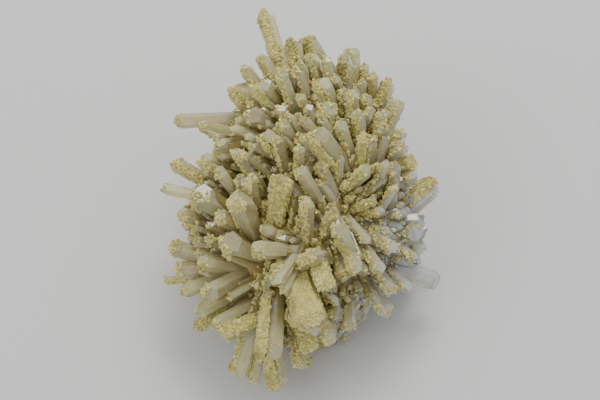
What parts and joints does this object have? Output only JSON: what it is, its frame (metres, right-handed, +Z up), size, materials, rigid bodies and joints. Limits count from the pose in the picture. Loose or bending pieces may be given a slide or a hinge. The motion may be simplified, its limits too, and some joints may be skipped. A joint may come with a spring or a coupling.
{
  "type": "quartz and calcite specimen",
  "caption": "Radiating spray of six-sided quartz prisms on a rough quartz base, with granular calcite crusted on the sides and points of the larger prisms.",
  "frame": {"origin": "on the table under the middle of the specimen's extent", "axes": "+Z up; +Y towards the side with the single long spire; +X towards the clear quartz; the picture looks from -Y and above"},
  "size_m": [0.1096, 0.1458, 0.081],
  "materials": {
    "quartz": "glossy, milky and part clear",
    "calcite": "matt, granular"
  },
  "bodies": {
    "root": {"quartz_cluster": "quartz", "calcite_on_north_spire": "calcite", "calcite_on_north_post": "calcite", "calcite_on_north_slab": "calcite", "calcite_on_east_finger": "calcite", "calcite_on_east_stub": "calcite", "calcite_on_east_wedge": "calcite", "calcite_on_west_block": "calcite", "calcite_on_west_finger": "calcite", "calcite_on_fan_left": "calcite", "calcite_on_fan_front": "calcite", "calcite_on_middle_tower": "calcite", "calcite_on_middle_slab": "calcite", "calcite_on_east_tower": "calcite", "calcite_on_centre_blade": "calcite", "calcite_on_west_tower": "calcite", "calcite_on_centre_column": "calcite", "calcite_on_south_west_toe": "calcite", "calcite_on_south_bar": "calcite", "calcite_on_south_point": "calcite", "calcite_on_front_tusk": "calcite", "calcite_on_front_blade": "calcite", "calcite_on_south_knob": "calcite", "calcite_on_south_east_cap": "calcite"}
  },
  "joints": []
}
